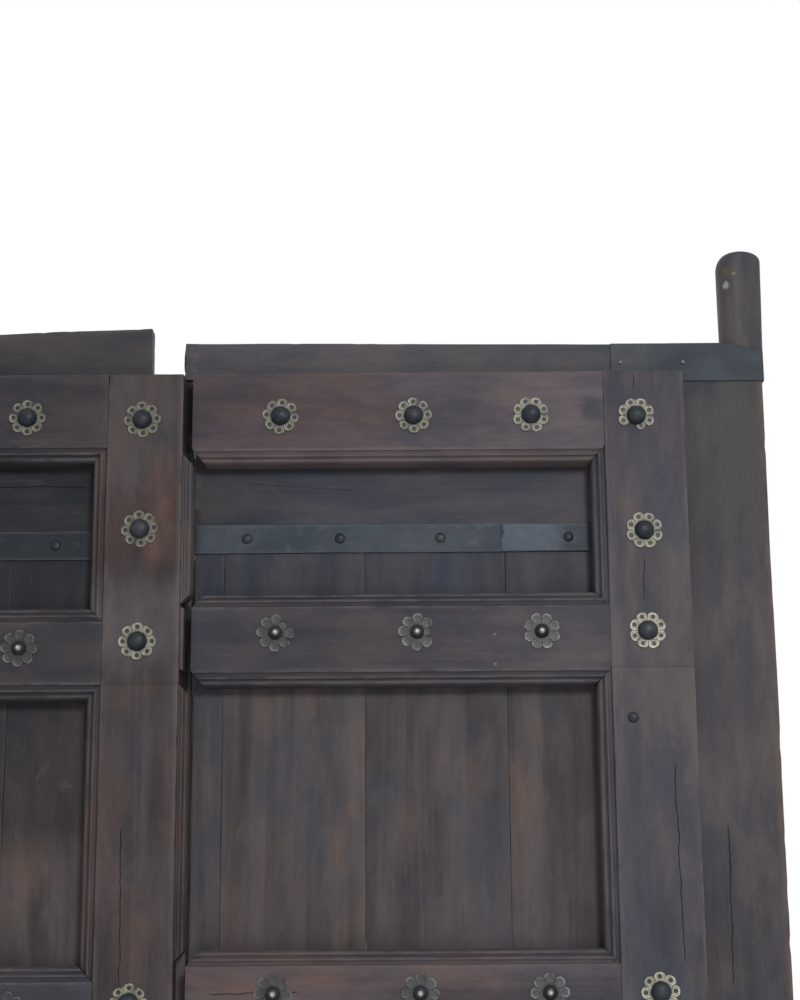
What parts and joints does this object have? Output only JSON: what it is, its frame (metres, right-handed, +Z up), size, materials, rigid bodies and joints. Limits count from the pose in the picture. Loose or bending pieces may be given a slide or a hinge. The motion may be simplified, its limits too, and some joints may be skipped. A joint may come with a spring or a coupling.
{
  "type": "carved temple door",
  "caption": "Pair of boarded wooden pivot-door leaves on a threshold, with moulded rails, a cover post at the meeting edge, iron straps and studded brass rosettes.",
  "frame": {"origin": "on the ground, under the middle of the threshold", "axes": "+X to the right seen from the rosette side, +Y into the building, +Z up; the pivot axes stand at y = 0"},
  "size_m": [1.786, 0.23, 2.35],
  "materials": {
    "plank_wood": "old dark planks, dry and dusty",
    "frame_wood": "old dark timber with worn edges",
    "pivot_wood": "old dark timber with a worn lighter edge",
    "sill_wood": "old dark timber, trodden",
    "iron": "forged, dark, slightly worn",
    "brass": "dull pale brass",
    "dark_brass": "tarnished nearly black"
  },
  "bodies": {
    "threshold": {"threshold_sill": "sill_wood", "left_pivot_cup": "iron", "right_pivot_cup": "iron"},
    "left_leaf": {"left_pivot_plank": "pivot_wood", "left_head_board": "plank_wood", "left_foot_board": "plank_wood", "left_meeting_plank": "plank_wood", "left_plank_1": "plank_wood", "left_plank_2": "plank_wood", "left_plank_3": "plank_wood", "left_rail_1": "frame_wood", "left_rail_2": "frame_wood", "left_rail_3": "frame_wood", "left_rail_4": "frame_wood", "left_rail_5": "frame_wood", "left_rail_6": "frame_wood", "left_upright_top": "frame_wood", "left_upright_middle": "frame_wood", "left_upright_foot": "frame_wood", "cover_post_top": "frame_wood", "cover_post_middle": "frame_wood", "cover_post_foot": "frame_wood", "left_strap_top": "iron", "left_strap_middle": "iron", "left_strap_foot": "iron", "left_corner_irons": "iron", "left_back_ledges": "plank_wood", "left_bright_rosettes": "brass", "left_dark_rosettes": "dark_brass", "left_round_studs": "iron", "left_tipped_studs": "iron", "left_iron_nails": "iron"},
    "right_leaf": {"right_pivot_plank": "pivot_wood", "right_head_board": "plank_wood", "right_foot_board": "plank_wood", "right_meeting_plank": "plank_wood", "right_plank_1": "plank_wood", "right_plank_2": "plank_wood", "right_plank_3": "plank_wood", "right_rail_1": "frame_wood", "right_rail_2": "frame_wood", "right_rail_3": "frame_wood", "right_rail_4": "frame_wood", "right_rail_5": "frame_wood", "right_rail_6": "frame_wood", "right_upright_top": "frame_wood", "right_upright_middle": "frame_wood", "right_upright_foot": "frame_wood", "right_strap_top": "iron", "right_strap_middle": "iron", "right_strap_foot": "iron", "right_corner_irons": "iron", "right_back_ledges": "plank_wood", "right_bright_rosettes": "brass", "right_dark_rosettes": "dark_brass", "right_round_studs": "iron", "right_tipped_studs": "iron", "right_iron_nails": "iron"}
  },
  "joints": [
    {"name": "left_leaf_swing", "type": "hinge", "parent": "threshold", "child": "left_leaf", "pos_m": [-0.795, 0, 0.04], "axis": [0, 0, 1], "range_deg": [0, 100]},
    {"name": "right_leaf_swing", "type": "hinge", "parent": "threshold", "child": "right_leaf", "pos_m": [0.795, 0, 0.04], "axis": [0, 0, -1], "range_deg": [0, 100]}
  ]
}
